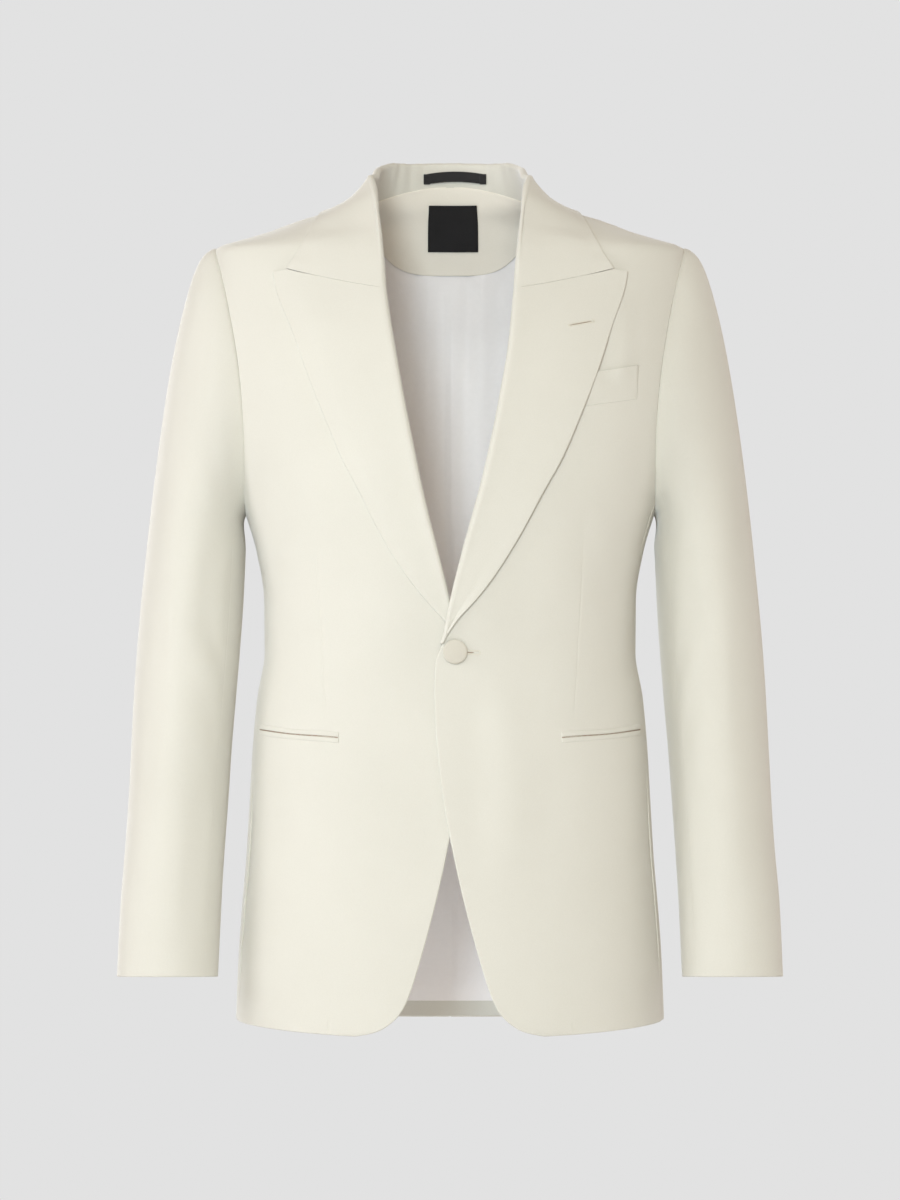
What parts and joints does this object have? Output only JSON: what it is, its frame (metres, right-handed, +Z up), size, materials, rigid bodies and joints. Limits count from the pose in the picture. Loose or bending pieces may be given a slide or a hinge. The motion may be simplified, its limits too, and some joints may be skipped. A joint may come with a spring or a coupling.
{
  "type": "dinner jacket",
  "caption": "Ivory peak-lapel dinner jacket, single-breasted, buttoned once at the waist and filled out as if worn, with a hollow body, open neck, hem and cuffs.",
  "frame": {"origin": "between the shoulders, on the centre plane, 1.5 mm below the height of the neck's side seam: the middle of where the wearer's shoulders carry the jacket", "axes": "+Z up along the centre line, -Y the way the front faces, +X towards the wearer's left"},
  "size_m": [0.5966, 0.2621, 0.787],
  "materials": {
    "ivory_wool": "ivory wool barathea, matte with a soft nap",
    "covered_button": "button covered with the same ivory cloth",
    "lining": "pale silver-white satin lining",
    "black_label": "plain black woven patch",
    "black_loop": "plain black tape"
  },
  "bodies": {
    "root": {"front_left": "ivory_wool", "front_right": "ivory_wool", "lapel_left": "ivory_wool", "lapel_right": "ivory_wool", "collar": "ivory_wool", "side_body_left": "ivory_wool", "side_body_right": "ivory_wool", "back_left": "ivory_wool", "back_right": "ivory_wool", "upper_sleeve_left": "ivory_wool", "upper_sleeve_right": "ivory_wool", "under_sleeve_left": "ivory_wool", "under_sleeve_right": "ivory_wool", "hip_pocket_left": "ivory_wool", "hip_pocket_right": "ivory_wool", "breast_welt": "ivory_wool", "neck_facing": "ivory_wool", "back_hem_facing": "ivory_wool", "button": "covered_button", "back_lining": "lining", "label": "black_label", "hanger_loop": "black_loop"}
  },
  "joints": []
}
